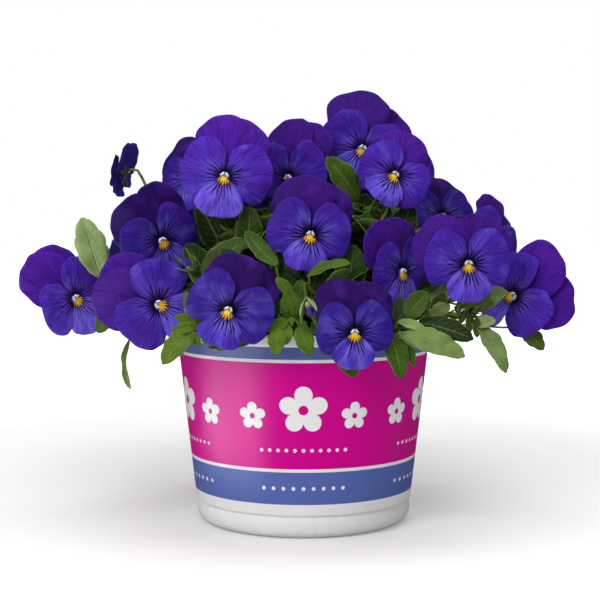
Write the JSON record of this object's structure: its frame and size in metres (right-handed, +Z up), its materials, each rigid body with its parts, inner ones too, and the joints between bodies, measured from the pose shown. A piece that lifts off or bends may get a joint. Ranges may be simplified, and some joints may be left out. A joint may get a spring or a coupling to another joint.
{
  "type": "potted pansy planter",
  "caption": "Tapered plastic flower pot filled with potting mix, with leafy trailing pansy shoots and large five-petalled blooms above its lip.",
  "frame": {"origin": "centre of the pot's flat underside, on the surface it stands on", "axes": "+Z up along the pot's axis, -Y towards the front, +X to the right as seen from the front"},
  "size_m": [0.3363, 0.2296, 0.2783],
  "materials": {
    "pot_plastic": "semi-gloss white moulded plastic with a printed band of blue, white and pink",
    "potting_mix": "loose dark fibrous mix of peat and bark",
    "petal": "soft velvety violet petals with dark lines round a yellow eye",
    "leaf": "satin green leaf with paler veins"
  },
  "bodies": {
    "root": {"pot": "pot_plastic", "soil": "potting_mix", "bloom_1": "petal", "bloom_2": "petal", "bloom_3": "petal", "bloom_4": "petal", "bloom_5": "petal", "bloom_6": "petal", "bloom_7": "petal", "bloom_8": "petal", "bloom_9": "petal", "bloom_10": "petal", "bloom_11": "petal", "bloom_12": "petal", "bloom_13": "petal", "bloom_14": "petal", "bloom_15": "petal", "bloom_16": "petal", "bloom_17": "petal", "bloom_18": "petal", "bloom_19": "petal", "bloom_20": "petal", "bloom_21": "petal", "bloom_22": "petal", "bloom_23": "petal", "bloom_24": "petal", "bloom_25": "petal", "bloom_26": "petal", "shoot_1": "leaf", "shoot_2": "leaf", "shoot_3": "leaf", "shoot_4": "leaf", "shoot_5": "leaf", "shoot_6": "leaf", "shoot_7": "leaf", "shoot_8": "leaf", "shoot_9": "leaf", "shoot_10": "leaf", "shoot_11": "leaf", "shoot_12": "leaf", "shoot_13": "leaf", "shoot_14": "leaf"}
  },
  "joints": []
}
